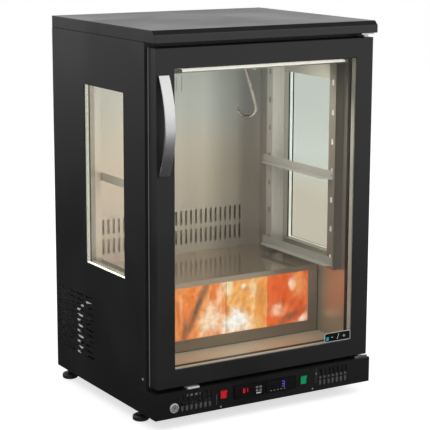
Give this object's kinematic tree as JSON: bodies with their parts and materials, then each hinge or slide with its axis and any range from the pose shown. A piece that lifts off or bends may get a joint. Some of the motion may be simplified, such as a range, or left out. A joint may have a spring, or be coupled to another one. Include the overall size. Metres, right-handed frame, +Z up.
{
  "type": "dry aging cabinet",
  "caption": "Black undercounter dry aging cabinet with a hinged glass door, windows in both sides, shelf rails, a hanging rod with a hook, and a backlit salt wall over its step.",
  "frame": {"origin": "on the floor, under the middle of the bounding box (cabinet with its door handle)", "axes": "+Z up; -Y is the front with the door; -X is the handle side, +X the hinge side"},
  "size_m": [0.6, 0.543, 0.915],
  "materials": {
    "black_sheet": "satin black powder coat",
    "galvanised": "galvanised sheet",
    "black_plastic": "moulded black plastic",
    "gloss_black": "gloss black",
    "red_plastic": "red, translucent",
    "green_plastic": "green, translucent",
    "white_plastic": "white, opal",
    "chrome": "polished",
    "brushed_steel": "brushed along its length",
    "stainless": "bright rolled stainless",
    "hook_steel": "brownish steel wire",
    "aluminium": "bare",
    "foam": "foamed insulation",
    "glass": "clear",
    "pale_spacer": "pale satin",
    "rubber": "matt",
    "salt": "translucent rock salt, lit from behind"
  },
  "bodies": {
    "cabinet": {"worktop": "black_sheet", "side_panel_left": "black_sheet", "side_panel_right": "black_sheet", "rear_panel": "galvanised", "base_pan": "galvanised", "foot_front_left": "black_plastic", "foot_front_right": "black_plastic", "foot_rear_left": "black_plastic", "foot_rear_right": "black_plastic", "plinth_panel": "black_sheet", "control_plate": "black_sheet", "controller_left": "gloss_black", "controller_right": "gloss_black", "front_frame": "black_sheet", "wall_left": "stainless", "wall_right": "stainless", "roof_and_rear": "stainless", "stepped_floor": "foam", "step_cover": "stainless", "air_panel": "stainless", "window_outer_left": "glass", "window_inner_left": "glass", "window_outer_right": "glass", "window_inner_right": "glass", "salt_lamp": "white_plastic", "salt_block_1": "salt", "salt_block_2": "salt", "salt_block_3": "salt", "salt_block_4": "salt", "evaporator": "aluminium", "condenser": "aluminium", "compressor": "black_sheet", "hinge_bottom": "black_sheet", "hinge_top": "black_sheet", "rack_post_front_left": "stainless", "rack_post_front_right": "stainless", "rack_post_rear_left": "stainless", "rack_post_rear_right": "stainless", "shelf_rail_lower_left": "stainless", "shelf_rail_lower_right": "stainless", "shelf_rail_upper_left": "stainless", "shelf_rail_upper_right": "stainless", "hanging_rod": "stainless", "light_bar": "white_plastic"},
    "door": {"door_frame": "black_sheet", "door_pane_outer": "glass", "door_pane_inner": "glass", "door_spacer": "pale_spacer", "door_gasket": "rubber", "door_handle": "brushed_steel"},
    "lock": {"lock_plug": "chrome"},
    "red_switch": {"rocker_red": "red_plastic"},
    "green_switch": {"rocker_green": "green_plastic"},
    "button_1": {"controller_button_1": "black_plastic"},
    "button_2": {"controller_button_2": "black_plastic"},
    "button_3": {"controller_button_3": "black_plastic"},
    "button_4": {"controller_button_4": "black_plastic"},
    "condenser_fan_wheel": {"condenser_fan": "black_plastic"},
    "duct_fan_wheel": {"duct_fan": "black_plastic"},
    "hook": {"hanging_hook": "hook_steel"}
  },
  "joints": [
    {"name": "door_hinge", "type": "hinge", "parent": "cabinet", "child": "door", "pos_m": [0.281, -0.21945, 0.102], "axis": [0, 0, 1], "range_deg": [0, 110]},
    {"name": "lock_turn", "type": "hinge", "parent": "cabinet", "child": "lock", "pos_m": [-0.2514, -0.24055, 0.056], "axis": [0, 1, 0], "range_deg": [0, 90]},
    {"name": "red_switch_rock", "type": "hinge", "parent": "cabinet", "child": "red_switch", "pos_m": [-0.1192, -0.23855, 0.0672], "axis": [1, 0, 0], "range_deg": [-16, 0]},
    {"name": "green_switch_rock", "type": "hinge", "parent": "cabinet", "child": "green_switch", "pos_m": [0.105, -0.23855, 0.066], "axis": [1, 0, 0], "range_deg": [-16, 0]},
    {"name": "button_1_press", "type": "slide", "parent": "cabinet", "child": "button_1", "axis": [0, 1, 0], "range_m": [0, 0.0008], "stiffness_N_per_m": 400},
    {"name": "button_2_press", "type": "slide", "parent": "cabinet", "child": "button_2", "axis": [0, 1, 0], "range_m": [0, 0.0008], "stiffness_N_per_m": 400},
    {"name": "button_3_press", "type": "slide", "parent": "cabinet", "child": "button_3", "axis": [0, 1, 0], "range_m": [0, 0.0008], "stiffness_N_per_m": 400},
    {"name": "button_4_press", "type": "slide", "parent": "cabinet", "child": "button_4", "axis": [0, 1, 0], "range_m": [0, 0.0008], "stiffness_N_per_m": 400},
    {"name": "condenser_fan_spin", "type": "hinge", "parent": "cabinet", "child": "condenser_fan_wheel", "pos_m": [-0.151, 0.17675, 0.1283], "axis": [0, 1, 0], "continuous": true},
    {"name": "duct_fan_spin", "type": "hinge", "parent": "cabinet", "child": "duct_fan_wheel", "pos_m": [0, 0.2299, 0.735], "axis": [0, 1, 0], "continuous": true},
    {"name": "hook_swing", "type": "hinge", "parent": "cabinet", "child": "hook", "pos_m": [0.104, 0.00655, 0.805], "axis": [1, 0, 0], "range_deg": [-30, 30]}
  ]
}
